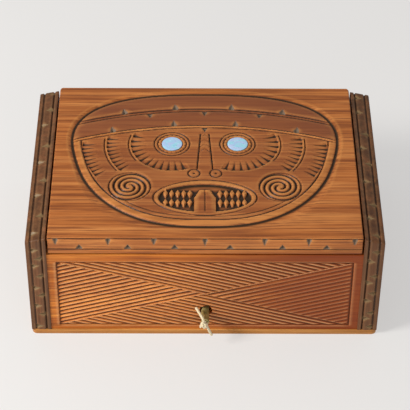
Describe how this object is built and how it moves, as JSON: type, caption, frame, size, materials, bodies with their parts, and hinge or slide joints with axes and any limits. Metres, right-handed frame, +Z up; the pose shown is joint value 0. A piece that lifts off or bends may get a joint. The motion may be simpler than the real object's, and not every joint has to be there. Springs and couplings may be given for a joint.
{
  "type": "ditty box",
  "caption": "Rectangular carved wooden box with raised dark end boards, a thick hinged lid inlaid with shell discs, a fluted front and a barrel key tied with string.",
  "frame": {"origin": "middle of the underside of the base board", "axes": "+X along the front to the right, +Y from the front to the back, +Z up"},
  "size_m": [0.26, 0.1888, 0.0988],
  "materials": {
    "lid_wood": "hand-rubbed wax on warm orange-brown timber",
    "panel_wood": "hand-rubbed wax on warm orange-brown timber",
    "stained_wood": "dark grey-brown stain, worn pale at the corners",
    "base_wood": "plain light brown timber edge",
    "shell": "polished iridescent shell inlay",
    "brass": "aged, dull",
    "steel": "plain",
    "cotton": "cream cotton string"
  },
  "bodies": {
    "case": {"base_board": "base_wood", "left_end_board": "stained_wood", "right_end_board": "stained_wood", "front_panel": "panel_wood", "back_panel": "panel_wood", "left_hinge_body_leaf": "brass", "right_hinge_body_leaf": "brass", "left_hinge_pin": "brass", "right_hinge_pin": "brass", "hinge_body_screws": "brass", "base_screws": "steel", "bearing_plate": "brass", "plate_screws": "brass"},
    "lid": {"lid_board": "lid_wood", "left_shell_disc": "shell", "right_shell_disc": "shell", "left_hinge_lid_leaf": "brass", "right_hinge_lid_leaf": "brass", "hinge_lid_screws": "brass", "lid_staple": "brass"},
    "latch": {"lock_spindle": "brass", "latch_arm": "brass", "spindle_nut": "brass"},
    "key": {"key_barrel": "brass", "string_upper": "cotton", "string_knot": "cotton", "string_loop": "cotton", "string_lower": "cotton"}
  },
  "joints": [
    {"name": "lid_hinge", "type": "hinge", "parent": "case", "child": "lid", "pos_m": [0, 0.0808, 0.08235], "axis": [-1, 0, 0], "range_deg": [0, 104]},
    {"name": "latch_turn", "type": "hinge", "parent": "case", "child": "latch", "pos_m": [0.0004, -0.0772, 0.0232], "axis": [0, 1, 0], "range_deg": [0, 90]},
    {"name": "key_pull", "type": "slide", "parent": "latch", "child": "key", "axis": [0, -1, 0], "range_m": [0, 0.022]}
  ]
}
